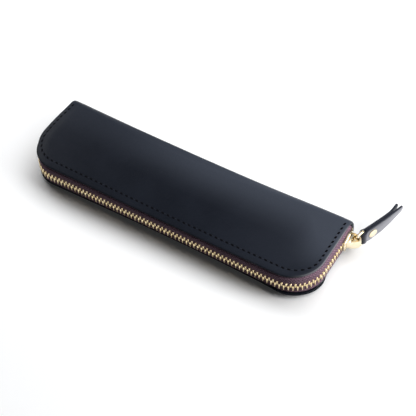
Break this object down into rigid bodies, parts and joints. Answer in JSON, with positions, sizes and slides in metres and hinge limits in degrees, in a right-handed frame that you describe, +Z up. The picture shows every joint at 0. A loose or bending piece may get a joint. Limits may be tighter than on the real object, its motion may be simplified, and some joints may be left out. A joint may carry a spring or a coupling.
{
  "type": "zippered pen case",
  "caption": "Slim leather pen case, folded along a spine and closed round three sides by a brass zip, with a gold slider and a riveted leather pull tab.",
  "frame": {"origin": "middle of the bottom panel's flat underside, on the surface that the case lies on", "axes": "+X along the case to the slider end, +Y to the folded spine, +Z up through the thickness"},
  "size_m": [0.2136, 0.0832, 0.0185],
  "materials": {
    "leather": "smooth waxed navy-black cowhide with burnished edges",
    "thread": "waxed dark polyester thread",
    "tape": "woven purple-brown zip tape",
    "brass_teeth": "satin brass",
    "gold_metal": "polished gold plate"
  },
  "bodies": {
    "base": {"bottom_panel": "leather", "lower_seam_thread": "thread", "lower_tape": "tape", "lower_teeth": "brass_teeth", "lower_end_teeth": "brass_teeth", "lower_top_stop": "brass_teeth", "bottom_stop": "brass_teeth"},
    "spine": {"spine_panel": "leather"},
    "lid": {"top_panel": "leather", "upper_seam_thread": "thread", "upper_tape": "tape", "upper_teeth": "brass_teeth", "upper_end_teeth": "brass_teeth", "upper_top_stop": "brass_teeth"},
    "slider": {"slider_body": "gold_metal"},
    "link": {"pull_link": "gold_metal"},
    "tab": {"pull_tab": "leather", "rivet_post": "gold_metal", "rivet_cap": "gold_metal"}
  },
  "joints": [
    {"name": "spine_fold", "type": "hinge", "parent": "base", "child": "spine", "pos_m": [0, 0.02643, 0.00107], "axis": [-1, 0, 0], "range_deg": [0, 90]},
    {"name": "lid_fold", "type": "hinge", "parent": "spine", "child": "lid", "pos_m": [0, 0.02643, 0.01743], "axis": [-1, 0, 0], "range_deg": [0, 90]},
    {"name": "slider_travel", "type": "slide", "parent": "base", "child": "slider", "axis": [0, 1, 0], "range_m": [-0.02, 0], "deforming": ["upper_end_teeth", "lower_end_teeth"]},
    {"name": "link_swing", "type": "hinge", "parent": "slider", "child": "link", "pos_m": [0.1036, 0.0206, 0.00925], "axis": [0, 0, 1], "range_deg": [-110, 8]},
    {"name": "tab_swing", "type": "hinge", "parent": "link", "child": "tab", "pos_m": [0.10475, 0.0252, 0.00925], "axis": [0, 0, 1], "range_deg": [-45, 10]}
  ],
  "couplings": [
    {"joint": "lid_fold", "follows": "spine_fold", "ratio": 1}
  ]
}
